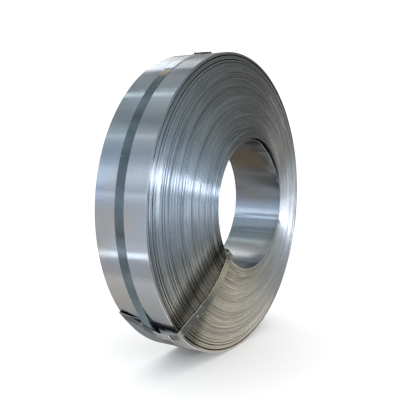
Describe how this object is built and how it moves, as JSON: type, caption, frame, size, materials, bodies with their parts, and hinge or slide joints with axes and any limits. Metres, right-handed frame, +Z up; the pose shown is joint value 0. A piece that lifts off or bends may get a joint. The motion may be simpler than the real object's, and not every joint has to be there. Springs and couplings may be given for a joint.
{
  "type": "nickel alloy strip coil",
  "caption": "Coil of bright nickel alloy strip, its turns telescoped towards the front, held by steel straps round the outside and through the bore.",
  "frame": {"origin": "on the coil's axis, halfway across the width of the outer turn", "axes": "+X along the coil's axis towards the front face, +Z up as it stands on its outer turn, +Y to the right seen from the front"},
  "size_m": [0.1577, 0.601, 0.6018],
  "materials": {
    "nickel_strip": "bright rolled nickel alloy, satin",
    "dark_strap": "dark blued strapping, satin",
    "grey_strap": "olive grey strapping, satin",
    "strap_seal": "plain crimped sheet"
  },
  "bodies": {
    "root": {"strip_coil": "nickel_strip", "band_strap": "dark_strap", "band_seal": "strap_seal", "eye_strap": "grey_strap", "eye_seal": "strap_seal"}
  },
  "joints": []
}
